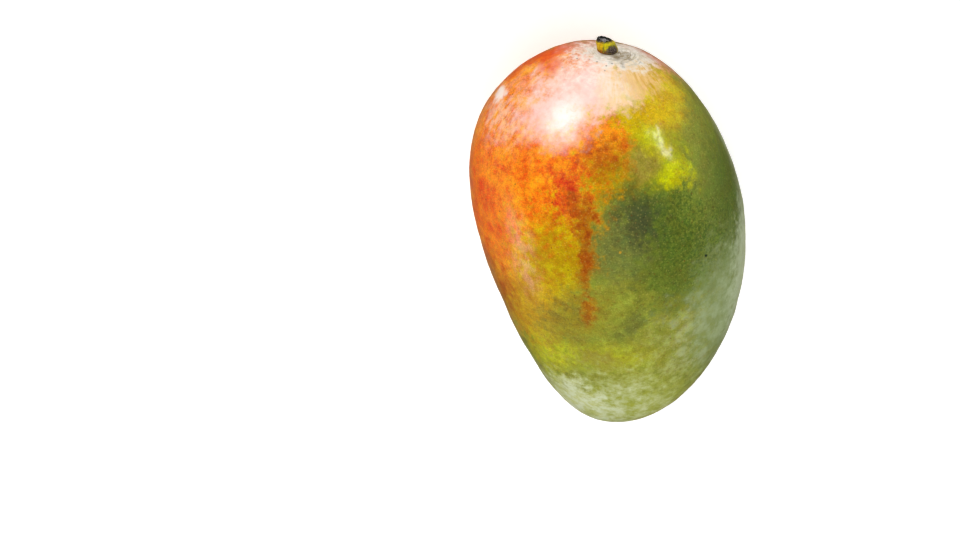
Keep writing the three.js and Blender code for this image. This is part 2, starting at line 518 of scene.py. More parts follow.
WARM_SIDE = (
    Blot("warm_ground", (-34, 18, 20), (30, 47), GOLD, 1.0, turn=6, deep=60, edge=0.2, ragged=0.35),
    Blot("ochre_bridge", (-4, 23, 44), (8, 13), OCHRE, 0.9, turn=-10, edge=0.45),
    Blot("amber", (-31, 3, 20), (16, 30), AMBER, 0.6, Fleck.STREAKS, turn=12, deep=50, edge=0.5),
    Blot("orange_cheek", (-28, 29, 25), (24, 25), ORANGE, 1.0, deep=50, edge=0.35),
    Blot("orange_crown", (-16, 47, 26), (20, 12), ORANGE, 0.95, Fleck.STREAKS, deep=40, edge=0.35),
    Blot("orange_bridge", (-5, 29, 44), (9, 6), ORANGE, 0.9, turn=-10, edge=0.6, ragged=1.0),
    Blot("orange_flank", (-39, 3, 16), (8, 20), ORANGE, 0.85, Fleck.STREAKS, turn=14, deep=40, edge=0.5),
    Blot("gold_pool", (-17, -7, 37), (8, 11), POOL, 0.8, edge=0.6, ragged=1.0),
    Blot("honey_foot", (-24, -22, 20), (6, 11), HONEY, 0.85, turn=22, edge=0.6, ragged=1.0),
    Blot("blush_flank", (-44, 13, 8), (9, 19), BLUSH, 0.75, Fleck.STREAKS, turn=4, edge=0.6),
    # Rust-coloured streaks on the lower left limb: painted shade that darkens the limb there.
    Blot("rust_flank", (-37, -17, 4), (5, 12), RUST, 0.65, Fleck.STREAKS, turn=20, edge=0.7),
    Blot("fire_mottle", (-28, 16, 25), (21, 26), FIRE, 0.5, edge=0.6, deep=50, sparse=True),
    Blot(
        "peach_mottle", (-28, 39, 30), (12, 12), PEACH, 0.28, Fleck.STREAKS, edge=0.6, deep=40,
        sparse=True,
    ),
    # Pink streaks down the left flank: a painted sheen that carries on the left strip light's broken
    # reflection.
    Blot(
        "pink_flecks", (-27, -6, 28), (3.5, 12), PEACH, 0.22, Fleck.STREAKS, turn=14, edge=0.7,
        sparse=True,
    ),
    Blot("amber_under", (-14, 50, 2), (20, 16), AMBER, 0.75, deep=14, edge=0.7, ragged=1.0),
    Blot("ember_cloud", (-12.5, 12.5, 43), (4.6, 8.5), EMBER, 0.95, turn=14, edge=0.8, ragged=1.6),
    Blot("rust_slide", (-9, 5, 43), (3, 8), RUST, 0.65, turn=18, edge=0.7, ragged=1.6),
    Blot("rust_fleck", (-2, 23.5, 44), (6.5, 5), RUST, 0.5, turn=-30, edge=0.8, ragged=1.8),
    Blot("khaki_foot", (-12, -25, 27), (10, 7), KHAKI, 0.8, turn=20, edge=0.7, ragged=1.6),
    Blot("drip", (-7.8, -4, 40), (1.7, 13), RUST, 0.85, edge=0.7, ragged=1.2),
    Blot("drip_bulge", (-7, -9, 37), (2.8, 4), RUST, 0.4, edge=0.7, ragged=1.0),
    Blot("drip_end", (-7.3, -23, 29), (2.2, 3.3), RUST, 0.75, edge=0.8, ragged=1.2),
)

STEM_END = (
    # Pink wax near the stem: partly real wax, partly painted highlight in the broad pale zone round the key
    # highlight.
    Blot("pink_wax", (-9, 45, 38), (12, 8), PINK_WAX_AND_HIGHLIGHT, 0.85, turn=-4, edge=0.7, ragged=1.2),
    # Pinkish-white patch round the key light's highlight: a painted highlight halo under the real reflection.
    Blot("glow_wax", (-17, 36, 40), (9, 7), HIGHLIGHT_AND_WAX_PINK, 0.65, edge=0.9, ragged=1.0),
    # Pale patch beside the stem: partly wax, partly painted highlight.
    Blot("pale_wax", (-4, 44.5, 37), (7, 5), HIGHLIGHT_AND_WAX_PINK, 0.65, turn=-8, edge=0.9, ragged=0.7),
    Blot("cream_wax", (3, 46, 36), (6, 6.5), CREAM, 0.7, Fleck.STREAKS, turn=-15, edge=0.8, ragged=0.7),
    # White flecks over the top near the stem: partly wax, partly painted sheen where the top edge catches the
    # light.
    Blot("white_veil", (-5, 50, 32), (12, 7), NEAR_WHITE, 0.85, edge=0.7, sparse=True, ragged=1.2),
    Blot(
        "apricot_flecks", (8, 49, 32), (6, 5), APRICOT, 0.75, Fleck.STREAKS, turn=-35, edge=0.9,
        ragged=1.4,
    ),
    Blot("scarlet_brow", (-20, 56.4, 25), (9.5, 2.1), SCARLET, 0.95, turn=22, edge=0.5),
    Blot("scarlet_limb", (-28, 53, 14), (9, 1.6), SCARLET, 0.6, turn=38, edge=0.6, ragged=1.0),
    Blot("scarlet_drop", (-18.5, 51.5, 32), (2.2, 2.8), SCARLET, 0.6, turn=-20, edge=0.7, ragged=1.2),
    Blot("rose_rim", (12, 56, 18), (10, 3), ROSE, 0.8, deep=8, turn=-30, edge=0.9, ragged=1.2),
    Blot("rose_crown", (-9, 59, 18), (7, 2.2), ROSE, 0.6, turn=10, edge=0.6),
    Blot("dusty_basin", (1, 55, 26), (10, 5), DUST, 0.95, deep=10, turn=-10, edge=0.5, ragged=1.2),
    Blot("tan_collar", (3.2, 54.6, 29), (3.6, 1.7), TAN, 0.5, deep=5, turn=-14, edge=0.8, ragged=2.0),
    Blot(
        "stem_rings", (3, 55, 28), (5, 3), TAN, 0.85, Fleck.RINGS, deep=6, turn=-12, edge=0.7,
        sparse=True,
    ),
    Blot("stem_specks", (-5, 53, 31), (10, 6), SOOT, 0.6, Fleck.SPECKS, deep=12, edge=0.5, sparse=True),
    # A near-white patch, and near-white streaks, on the left flank.
    Blot("limb_fleck", (-34, 44, 25), (1.3, 2.4), NEAR_WHITE, 0.95, turn=-25, edge=0.7),
    Blot(
        "white_flecks", (-34, 36, 30), (4.5, 7), NEAR_WHITE, 0.24, Fleck.STREAKS, edge=0.6,
        sparse=True, ragged=1.2,
    ),
)

BLOOM = (
    Blot(
        "bloom_right", (37, -22, 12), (11, 20), SAGE, 0.6, Fleck.DRIFTS, turn=-14, deep=26,
        edge=0.9, ragged=1.2,
    ),
    Blot("bloom_tip", (0, -58, 2), (29, 14), FROST, 0.8, Fleck.DRIFTS, deep=40, edge=0.8, ragged=1.2),
    Blot(
        "frost_left", (-13, -53, 0), (9, 6), PALE_FROST, 0.7, Fleck.DRIFTS, turn=-30, edge=0.7,
        ragged=1.2,
    ),
    Blot("rime_tip", (-6, -56, 2), (19, 9), RIME, 0.62, Fleck.DRIFTS, edge=0.8, ragged=1.4, sparse=True),
    Blot(
        "rime_left", (-12, -51, 2), (7, 4), RIME, 0.5, Fleck.DRIFTS, turn=-20, edge=0.8,
        ragged=1.4, sparse=True,
    ),
    Blot(
        "rime_right", (23, -33, 16), (9, 10), RIME, 0.2, Fleck.DRIFTS, turn=-30, edge=0.9,
        ragged=1.4, sparse=True,
    ),
    Blot("rime_limb", (36, -22, 10), (8, 16), HAZE, 0.5, Fleck.DRIFTS, turn=-14, edge=0.9, ragged=1.0),
    Blot(
        "bloom_flank", (42, -6, -9), (8, 28), HAZE, 0.6, Fleck.DRIFTS, turn=-6, deep=15, edge=0.9,
        ragged=1.6,
    ),
    # Pale band along the right edge: partly bloom, partly a painted rim reflection.
    Blot(
        "bloom_rim", (43.5, 4, 4), (4.6, 30), BLOOM_AND_RIM_SHEEN, 0.9, Fleck.DRIFTS, turn=-4, deep=10,
        edge=0.9, ragged=1.4,
    ),
    # Thin pale line along the shoulder's edge: partly bloom, partly a painted rim reflection.
    Blot(
        "shoulder_rim", (36.4, 30, 12), (1.8, 17), BLOOM_AND_RIM_SHEEN, 0.6, Fleck.DRIFTS, turn=24, deep=7,
        edge=0.8,
    ),
)

SPOTS = (
    Blot(
        "tip_scar", (3, -59.5, -24), (1.8, 1.8), (paint(100, 80, 44), paint(66, 52, 30)), 0.75,
        deep=5, ragged=0.7,
    ),
    Blot(
        "orange_spot", (2.7, -5, 39), (0.42, 0.42),
        (paint(206, 160, 48), paint(170, 112, 34)), 0.8, ragged=1.1,
    ),
    Blot("black_dot", (29, -6, 27), (0.4, 0.4), (paint(24, 34, 26), paint(24, 34, 26)), 0.95, ragged=0.1),
)


# The settings that leave a colour as it is.
UNCHANGED = {"Hue": 0.5, "Saturation": 1.0, "Value": 1.0}


@dataclass(frozen=True)
class SkinFinish:
    """Smooth, waxy skin that goes from a warm blush to green, with bloom towards the tip. Some pale marks on
    it are painted highlight, sheen and rim reflection, and streaks on the lower left limb are painted shade.

    Attributes:
        marks: The fruit's landmarks.
        cheek_tilt: Turn about X that brings the cheek's frame from upright onto the marked cheek.
        roughness: Roughness of the bare skin, and of skin under full bloom.
        gloss_index: Refractive index of the skin.
        coat: Weight of the wax over the skin.
        coat_roughness: Its roughness.
        sheen: Weight of the faint dust of wax that pales the skin where it turns away.
        sheen_roughness: Its roughness.
        sheen_tint: Its colour.
        ring_middle: Where the stem's axis crosses the fruit's frame, in millimetres.
        ring_sweep: Radius of the circle that the rings' noise is read round, in millimetres. The
            smaller it is, the longer are the dashes of a ring.
        ragged: Noise that breaks the patches' edges up.
        wander: How far the patches' outlines wander, in millimetres.
        wander_grain: Noise that they wander by.
        wander_shift: How far apart it is read for the two directions, in millimetres.
        speck_spacing: Spacing of the specks, in millimetres.
        speck_radii: Radius of a speck and of its solid middle, as shares of the spacing.
        girth: Radius at which a streak is as broad as its grain, in millimetres.
        streak: Share of a streak's length that counts as much as its breadth.
        dimples: Noise and height, in millimetres, of the dimples and of the pores.
        dimple_strength: How strongly both show.
        mottles: Noise of each mottling, and how far it changes hue, saturation and value.
        freckles: Spacing, radius, share, blend and colour of each kind of dot.
        freckle_fade: How many times broader a dot is than its solid middle.
    """

    marks: Landmarks
    cheek_tilt: float = -15.5
    roughness: tuple[float, float] = (0.36, 0.56)
    gloss_index: float = 1.27
    coat: float = 0.5
    coat_roughness: float = 0.14
    sheen: float = 0.2
    sheen_roughness: float = 0.22
    sheen_tint: Rgb = (1.0, 0.9, 0.55)
    ring_middle: Triple = (-1.2, 0.0, 2.3)
    ring_sweep: float = 1.6
    ragged: Grain = Grain(2.6, 4.0, 0.68)
    wander: float = 3.0
    wander_grain: Grain = Grain(8.0, 4.0, 0.6)
    wander_shift: float = 90.0
    speck_spacing: float = 2.6
    speck_radii: tuple[float, float] = (0.15, 0.1)
    girth: float = 36.0
    streak: float = 0.5
    dimples: tuple[tuple[Grain, float], ...] = ((Grain(2.6, 2.0, 0.5), 0.16), (Grain(0.8, 2.0, 0.5), 0.07))
    dimple_strength: float = 0.5
    mottles: tuple[tuple[Grain, Triple], ...] = (
        (Grain(0.45, 2.0, 0.6, (0.3, 0.7)), (0.0, 0.0, 0.15)),
        (Grain(1.5, 4.0, 0.6, (0.3, 0.7)), (0.0, 0.0, 0.08)),
        (Grain(5.0, 4.0, 0.6, (0.3, 0.7)), (0.014, 0.0, 0.1)),
    )
    freckles: tuple[tuple[float, float, float, str, Rgb], ...] = (
        (1.0, 0.34, 0.12, "MIX", paint(240, 222, 120)),
        (1.9, 0.3, 0.45, "MULTIPLY", paint(236, 178, 176)),
        (5.0, 0.08, 0.7, "MIX", paint(112, 56, 20)),
    )
    freckle_fade: float = 3.0

    def material(self) -> bpy.types.Material:
        """Makes the material.

        Returns:
            The skin's material.
        """
        sheet = NodeSheet("mango_skin")
        place = sheet.object_place()
        cheek = sheet.within(place, tuple(self.marks.middle), (self.cheek_tilt, 0, 0), (MM, MM, MM))
        fruit = sheet.within(place, tuple(self.marks.middle), (self.marks.pitch, 0, 0), (MM, MM, MM))
        brush = self._brush(sheet, cheek, fruit)
        colour = sheet.blend(brush.flecks[Fleck.CLOUDS], *GROUND)
        colour = brush.lay(colour, *GREEN_SIDE, *WARM_SIDE)
        colour = self._mottle(sheet, fruit, colour)
        colour = self._freckles(sheet, fruit, colour)
        colour = brush.lay(colour, *STEM_END, *BLOOM)
        colour = Brush(sheet, cheek, brush.ragged, brush.flecks).lay(colour, *SPOTS)
        bloom = brush.cover(BLOOM[0])
        for blot in BLOOM[1:]:
            bloom = sheet.number("MAXIMUM", bloom, brush.cover(blot))

        surface = sheet.add("ShaderNodeBsdfPrincipled")
        sheet.feed(surface.inputs["Base Color"], colour)
        bare, bloomed = self.roughness
        sheet.feed(surface.inputs["Roughness"], sheet.rise(bloom, 0.0, 1.0, bloomed, bare))
        surface.inputs["IOR"].default_value = self.gloss_index
        surface.inputs["Coat Weight"].default_value = self.coat
        surface.inputs["Coat Roughness"].default_value = self.coat_roughness
        surface.inputs["Sheen Weight"].default_value = self.sheen
        surface.inputs["Sheen Roughness"].default_value = self.sheen_roughness
        surface.inputs["Sheen Tint"].default_value = (*self.sheen_tint, 1.0)
        sheet.feed(surface.inputs["Normal"], self._dimples(sheet, fruit))
        return sheet.finish(surface)

    def _dimples(self, sheet: NodeSheet, fruit: Socket) -> Socket:
        """Shallow dimples, with fine pores between them."""
        normal: Socket | None = None
        for grain, height in self.dimples:
            bump = sheet.bump(self.dimple_strength, height)
            sheet.feed(bump.inputs["Height"], sheet.noise(fruit, grain))
            if normal is not None:
                sheet.feed(bump.inputs["Normal"], normal)
            normal = bump.outputs[0]
        return normal

    def _brush(self, sheet: NodeSheet, cheek: Socket, fruit: Socket) -> Brush:
        """The brush that every mark on the skin is laid with.

        Args:
            sheet: The node tree.
            cheek: Place in the cheek's frame, in millimetres.
            fruit: Place in the fruit's own frame, in millimetres.

        Returns:
            The brush.
        """
        along = self._along(sheet, fruit)
        ragged = sheet.noise(fruit, self.ragged)
        drift = sheet.add("ShaderNodeCombineXYZ")
        for axis, offset in enumerate((0.0, self.wander_shift)):
            shifted = sheet.vector("ADD", fruit, (offset, 0.0, 0.0))
            swing = sheet.noise(shifted, self.wander_grain)
            swing = sheet.rise(swing, *self.wander_grain.span, self.wander, -self.wander)
            swing.node.interpolation_type = "LINEAR"
            sheet.feed(drift.inputs[axis], swing)
        wander = sheet.vector("ADD", cheek, drift.outputs[0])
        flecks = {
            Fleck.STREAKS: sheet.pattern(along, FLECK_GRAINS[Fleck.STREAKS]),
            Fleck.RINGS: sheet.pattern(self._rings(sheet, fruit), FLECK_GRAINS[Fleck.RINGS]),
            Fleck.SPECKS: sheet.rise(sheet.cells(fruit, self.speck_spacing), *self.speck_radii),
        }
        for fleck in (Fleck.GRAIN, Fleck.CLOUDS, Fleck.DRIFTS):
            flecks[fleck] = sheet.pattern(fruit, FLECK_GRAINS[fleck])
        return Brush(sheet, wander, ragged, flecks)

    def _along(self, sheet: NodeSheet, fruit: Socket) -> Socket:
        """Coordinates that stretch a pattern from the stem to the tip.

        Args:
            sheet: The node tree.
            fruit: Place in the fruit's own frame, in millimetres.

        Returns:
            The stretched place.
        """
        round_axis = sheet.vector("NORMALIZE", sheet.vector("MULTIPLY", fruit, (1.0, 0.0, 1.0)))
        lengthwise = sheet.vector("MULTIPLY", fruit, (0.0, self.streak, 0.0))
        return sheet.vector("ADD", sheet.vector("SCALE", round_axis, self.girth), lengthwise)

    def _rings(self, sheet: NodeSheet, fruit: Socket) -> Socket:
        """Coordinates that stretch a pattern round the stem.

        Args:
            sheet: The node tree.
            fruit: Place in the fruit's own frame, in millimetres.

        Returns:
            The stretched place.
        """
        aside = sheet.vector("MULTIPLY", fruit, (1.0, 0.0, 1.0))
        aside = sheet.vector("SUBTRACT", aside, self.ring_middle)
        away = sheet.add("ShaderNodeCombineXYZ")
        sheet.feed(away.inputs[1], sheet.vector("LENGTH", aside))
        heading = sheet.vector("SCALE", sheet.vector("NORMALIZE", aside), self.ring_sweep)
        return sheet.vector("ADD", heading, away.outputs[0])

    def _mottle(self, sheet: NodeSheet, fruit: Socket, colour: Socket) -> Socket:
        """Breaks the colours up with cloudy and fine differences of tone."""
        for grain, changes in self.mottles:
            mixed = sheet.add("ShaderNodeHueSaturation")
            for (name, middle), change in zip(UNCHANGED.items(), changes):
                if change:
                    cloud = sheet.noise(fruit, grain)
                    shade = sheet.rise(cloud, *grain.span, middle + change, middle - change)
                    sheet.feed(mixed.inputs[name], shade)
            sheet.feed(mixed.inputs["Color"], colour)
            colour = mixed.outputs[0]
        return colour

    def _freckles(self, sheet: NodeSheet, fruit: Socket, colour: Socket) -> Socket:
        """Pale pores and darker dots all over, and a few dark specks."""
        for spacing, near, share, mode, tone in self.freckles:
            dots = sheet.rise(sheet.cells(fruit, spacing), near, near / self.freckle_fade, share)
            colour = sheet.blend(dots, colour, tone, mode)
        return colour


# ---- the stub's finish ----------------------------------------------------------------------

STUB_GROUND = (paint(206, 180, 24), paint(178, 150, 22))
STUB_AMBER = (paint(212, 176, 6), paint(188, 142, 10))
STUB_ORANGE = (paint(176, 104, 20), paint(108, 64, 20))
STUB_LIME = (paint(212, 198, 4), paint(176, 164, 4))
STUB_OLIVE = (paint(150, 148, 24), paint(84, 80, 24))
BARK = (paint(36, 28, 24), paint(112, 96, 84))
CHAR = (paint(8, 7, 8), paint(24, 20, 20))
CHAR_HIGHLIGHT = (paint(190, 184, 182), paint(60, 54, 54))

STUB_MARKS = (
    Blot("orange_root", (-2.0, -2.2, 0.0), (2.2, 2.2), STUB_ORANGE, 0.9, deep=1.2, ragged=0.9),
    Blot("amber_lobe", (-2.4, -1.9, 2.0), (1.4, 1.9), STUB_AMBER, 0.9, deep=1.4, ragged=0.5),
    Blot("lime_lobe", (-0.2, -2.9, 2.0), (1.2, 1.6), STUB_LIME, 0.95, deep=1.5, ragged=0.5),
    Blot("olive_side", (1.9, -2.4, 1.5), (1.6, 2.0), STUB_OLIVE, 0.9, deep=1.0, ragged=0.9),
    Blot("lime_shoulder", (2.0, -1.6, 2.3), (1.2, 1.8), STUB_LIME, 0.4, deep=0.5, ragged=0.6),
    Blot("cleft", (-1.25, -2.8, 0.8), (0.3, 1.4), STUB_OLIVE, 0.7, deep=1.2, ragged=0.9),
    Blot("bark_patch", (1.4, -2.4, 0.4), (2.0, 2.4), BARK, 1.0, deep=1.3, ragged=0.9),
    Blot("bark_foot", (0.0, 0.0, -0.7), (3.8, 3.8), BARK, 0.7, deep=0.7, ragged=0.9),
    Blot("bark_back", (0, 2.4, 1.2), (3.4, 2.4), BARK, 0.8, deep=2.2),
    Blot("char", (-0.8, 0, 4.1), (5, 5), CHAR, 1.0, deep=1.4, ragged=0.5),
    # Pale grey patch on the charred end: a painted highlight.
    Blot("ash", (-1.2, -1.2, 3.5), (1.3, 1.0), CHAR_HIGHLIGHT, 0.9, deep=0.7, ragged=1.6),
)


@dataclass(frozen=True)
class StubFinish:
    """Yellow-green stalk with grey bark on one side and a charred break, which carries a painted highlight.

    Attributes:
        foot: Where the stub stands.
        turn: Turn about X that takes the upright stub to its place.
        roughness: Its roughness.
        shine: Specular level, as dry bark is duller than wax.
        ragged: Noise that breaks the patches' edges up, and that the bark's grain is made of.
        clouds: Noise that the two tones of each patch mix in.
        bark_strength: How strongly the bark's grain shows.
        bark_height: Its full height, in millimetres.
    """

    foot: Vector
    turn: float
    roughness: float = 0.7
    shine: float = 0.25
    ragged: Grain = Grain(0.7, 4.0, 0.7)
    clouds: Grain = Grain(0.5, 4.0, 0.7, (0.38, 0.62))
    bark_strength: float = 0.6
    bark_height: float = 0.15

    def material(self) -> bpy.types.Material:
        """Makes the material.

        Returns:
            The stub's material.
        """
        sheet = NodeSheet("mango_stub")
        place = sheet.object_place()
        own = sheet.within(place, tuple(self.foot), (self.turn, 0, 0), (MM, MM, MM))
        ragged = sheet.noise(own, self.ragged)
        clouds = sheet.pattern(own, self.clouds)
        brush = Brush(sheet, own, ragged, {Fleck.CLOUDS: clouds})
        colour = sheet.blend(clouds, *STUB_GROUND)
        colour = brush.lay(colour, *STUB_MARKS)
        surface = sheet.add("ShaderNodeBsdfPrincipled")
        sheet.feed(surface.inputs["Base Color"], colour)
        surface.inputs["Roughness"].default_value = self.roughness
        surface.inputs["Specular IOR Level"].default_value = self.shine
        bump = sheet.bump(self.bark_strength, self.bark_height)
        sheet.feed(bump.inputs["Height"], ragged)
        sheet.feed(surface.inputs["Normal"], bump.outputs[0])
        return sheet.finish(surface)


# ---- the pieces ---------------------------------------------------------------------------


@dataclass
class FruitSkin:
    """The whole outside of the fruit, wrapped on the CAD form and refined.

    Attributes:
        marks: The fruit's landmarks.
        face_cells: Cells along each edge of the cube that the skin starts from.
        smoothing: Rounds of smoothing that take the CAD facets out.
        hole_radius: Radius round the stem axis in which the CAD socket is closed.
        hole_depth: How far along the axis it is closed, either way from the stem's foot.
        relief: Grain and height of the uneven skin, in millimetres, the broadest first.
        rest_middle: Middle of the flat spot that the fruit lies on.
        rest_core: Radius round it that is moved in full.
        rest_sink: How far it is moved down.
        rest_reach: Radius over which the form sinks to that spot.
        basin_depth: How far the skin dips below the stem's foot there.
        basin_reach: Radius of the basin round the stem.
        basin_core: Radius round the stem that is moved in full.
        basin_probe: Radius round the stem in which the skin's height is measured.
        stem_end: How far along the axis the stem end reaches, either way from the stem's foot.
        fine_radii: Radii round the stem in which the mesh is refined once more, one after another.
        wrinkles: Radius, half width and depth of each wrinkle round the stem, in millimetres.
        wobble: How far a wrinkle strays from its circle, in millimetres, and noise per millimetre.
        wrinkle_gap: Level of that noise below which a wrinkle is interrupted.
        wrinkle_reach: Farthest that a wrinkle gets from its circle, in millimetres.
        blend_margin: How far past the finest mesh the wrinkles' smoothing reaches.
    """

    marks: Landmarks
    face_cells: tuple[int, int] = (29, 4)
    smoothing: int = 110
    hole_radius: float = 2.75 * MM
    hole_depth: float = 5.0 * MM
    relief: tuple[tuple[float, float], ...] = ((11.0, 0.5), (3.2, 0.09), (1.6, 0.05))
    rest_middle: Vector = field(default_factory=lambda: Vector((1.4, 3.1, 0.0)) * MM)
    rest_core: float = 3.0 * MM
    rest_sink: float = 0.55 * MM
    rest_reach: float = 21.0 * MM
    basin_depth: float = 0.6 * MM
    basin_reach: float = 8.0 * MM
    basin_core: float = 2.2 * MM
    basin_probe: float = 1.5 * MM
    stem_end: float = 20.0 * MM
    fine_radii: tuple[float, ...] = (12.0 * MM, 7.0 * MM)
    wrinkles: tuple[tuple[float, float, float], ...] = (
        (4.1, 0.28, 0.14), (5.0, 0.26, 0.12), (6.0, 0.3, 0.12), (7.2, 0.32, 0.09), (8.6, 0.35, 0.06),
    )
    wobble: tuple[float, float] = (0.8, 0.35)
    wrinkle_gap: float = -0.25
    wrinkle_reach: float = 1.0
    blend_margin: float = 2.0 * MM

    def build(self, node: bpy.types.Object) -> bpy.types.Object:
        """Makes the skin.

        Args:
            node: The CAD node of the fruit.

        Returns:
            The finished piece.
        """
        form = self._closed_form(node)
        skin = self._rounded_cube(node)
        apply_modifier(skin, "SHRINKWRAP", target=form, wrap_method="NEAREST_SURFACEPOINT")
        apply_modifier(skin, "SMOOTH", factor=0.5, iterations=self.smoothing)
        bpy.data.objects.remove(form)
        self._unevenness(skin)
        self._fit_to(skin, *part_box(node.name))
        self._flatten_rest(skin)
        self._sink_basin(skin)
        self._refine_round_stem(skin)
        self._wrinkle(skin)
        only(skin)
        bpy.ops.object.shade_smooth()
        return skin

    def _closed_form(self, node: bpy.types.Object) -> bpy.types.Object:
        """A merged copy of the CAD fruit, with the hole for the stem's root closed."""
        form = node.copy()
        form.data = node.data.copy()
        form.name = "fruit_form"
        form.parent = None
        bpy.context.scene.collection.objects.link(form)
        only(form)
        bpy.ops.object.mode_set(mode="EDIT")
        bpy.ops.mesh.select_all(action="SELECT")
        bpy.ops.mesh.remove_doubles(threshold=0.001 * MM)
        foot, axis = self.marks.stem_foot, self.marks.stem_axis()

        def in_hole(place: Vector) -> bool:
            along = (place - foot).dot(axis)
            aside = (place - foot - along * axis).length
            return aside < self.hole_radius and abs(along) < self.hole_depth

        found = pick_vertices(form, in_hole)
        LOG.info("closing the stem's hole over %d vertices", found)
        bpy.ops.mesh.delete(type="VERT")
        bpy.ops.mesh.select_all(action="SELECT")
        bpy.ops.mesh.select_non_manifold()
        bpy.ops.mesh.edge_face_add()
        bpy.ops.mesh.poke()
        bpy.ops.object.mode_set(mode="OBJECT")
        return form

    def _rounded_cube(self, node: bpy.types.Object) -> bpy.types.Object:
        """A cube cut into even cells and cast to a ball of the fruit's own length and breadth."""
        low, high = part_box(node.name)
        bpy.ops.mesh.primitive_cube_add(size=2.0, location=(low + high) / 2)
        skin = bpy.context.object
        skin.name = "mango_skin"
        bpy.ops.object.mode_set(mode="EDIT")
        for cells in self.face_cells:
            bpy.ops.mesh.select_all(action="SELECT")
            bpy.ops.mesh.subdivide(number_cuts=cells - 1)
        bpy.ops.object.mode_set(mode="OBJECT")
        apply_modifier(skin, "CAST", cast_type="SPHERE", factor=1.0, size=1.0, use_radius_as_size=False)
        skin.scale = (high - low) / 2
        settle(skin)
        return skin

    def _fit_to(self, skin: bpy.types.Object, low: Vector, high: Vector) -> None:
        """Stretches the skin back to the CAD box that smoothing shrank it from.

        Args:
            skin: The piece.
            low: The box's lowest corner.
            high: The box's highest corner.
        """
        only(skin)
        own = [Vector(corner) for corner in skin.bound_box]
        own_low, own_high = own[0], own[6]
        stretch = Vector((high[i] - low[i]) / (own_high[i] - own_low[i]) for i in range(3))
        bpy.ops.object.mode_set(mode="EDIT")
        bpy.ops.mesh.select_all(action="SELECT")
        bpy.ops.transform.resize(value=stretch, center_override=(own_low + own_high) / 2)
        bpy.ops.transform.translate(value=(low + high) / 2 - (own_low + own_high) / 2)
        bpy.ops.object.mode_set(mode="OBJECT")

    def _unevenness(self, skin: bpy.types.Object) -> None:
        """Gives the skin the broad unevenness and the shallow dimples of a grown fruit."""
        for grain, height in self.relief:
            texture = bpy.data.textures.new("relief", "CLOUDS")
            texture.noise_scale = grain * MM
            texture.noise_depth = 1
            apply_modifier(
                skin, "DISPLACE", texture=texture, strength=height * MM, mid_level=0.5, texture_coords="LOCAL"
            )

    def _flatten_rest(self, skin: bpy.types.Object) -> None:
        """Sinks the underside onto the floor and flattens the spot that it lies on."""
        only(skin)
        bpy.ops.object.mode_set(mode="EDIT")
        middle = self.rest_middle
        pick_vertices(skin, lambda place: (place - middle).length < self.rest_core)
        bpy.ops.transform.translate(
            value=(0, 0, -self.rest_sink), use_proportional_edit=True, proportional_edit_falloff="SMOOTH",
            proportional_size=self.rest_reach,
        )
        found = pick_vertices(skin, lambda place: place.z < 0.0)
        LOG.info("flattening the rest over %d vertices", found)
        bpy.ops.transform.resize(value=(1, 1, 0), center_override=(0, 0, 0))
        bpy.ops.object.mode_set(mode="OBJECT")

    def _from_axis(self, place: Vector) -> float:
        """Distance of a place from the stem's axis, or a huge one at the far end of the fruit."""
        offset = place - self.marks.stem_foot
        along = offset.dot(self.marks.stem_axis())
        aside = (offset - along * self.marks.stem_axis()).length
        return aside if abs(along) < self.stem_end else math.inf

    def _sink_basin(self, skin: bpy.types.Object) -> None:
        """Sinks the shallow basin round the stem to the stem's foot."""
        axis = self.marks.stem_axis()
        near = [vertex.co for vertex in skin.data.vertices if self._from_axis(vertex.co) < self.basin_probe]
        height = sum((place - self.marks.stem_foot).dot(axis) for place in near) / len(near)
        height += self.basin_depth
        LOG.info("sinking the basin by %.2f mm", height / MM)
        only(skin)
        bpy.ops.object.mode_set(mode="EDIT")
        pick_vertices(skin, lambda place: self._from_axis(place) < self.basin_core)
        bpy.ops.transform.translate(
            value=-height * axis, use_proportional_edit=True, proportional_edit_falloff="SMOOTH",
            proportional_size=self.basin_reach,
        )
        bpy.ops.object.mode_set(mode="OBJECT")

    def _refine_round_stem(self, skin: bpy.types.Object) -> None:
        """Subdivides the skin once more, and then again nearer to the stem, for the wrinkles there."""
        only(skin)
        bpy.ops.object.mode_set(mode="EDIT")
        for radius in self.fine_radii:
            pick_vertices(skin, lambda place, radius=radius: self._from_axis(place) < radius)
            bpy.ops.mesh.subdivide(number_cuts=1, smoothness=0.0)
        bpy.ops.object.mode_set(mode="OBJECT")

    def _wrinkle(self, skin: bpy.types.Object) -> None:
        """Presses broken rings into the skin round the stem."""
        only(skin)
        bpy.ops.object.mode_set(mode="EDIT")
        stray, pace = self.wobble
        for radius, half_width, depth in self.wrinkles:

            def in_ring(place: Vector, radius: float = radius, half_width: float = half_width) -> bool:
                away = self._from_axis(place) / MM
                if abs(away - radius) > self.wrinkle_reach:
                    return False
                level = noise.noise(place / MM * pace + Vector((radius, 0, 0)))
                return abs(away - radius - stray * level) < half_width and level > self.wrinkle_gap

            pick_vertices(skin, in_ring)
            bpy.ops.transform.translate(value=-depth * MM * self.marks.stem_axis())
        bpy.ops.object.mode_set(mode="OBJECT")
        group = skin.vertex_groups.new(name="wrinkled")
        reach = self.fine_radii[-1] + self.blend_margin
        foot_zone = [vertex.index for vertex in skin.data.vertices if self._from_axis(vertex.co) < reach]
        group.add(foot_zone, 1.0, "REPLACE")
        apply_modifier(skin, "SMOOTH", factor=0.5, iterations=1, vertex_group="wrinkled")
        skin.vertex_groups.clear()


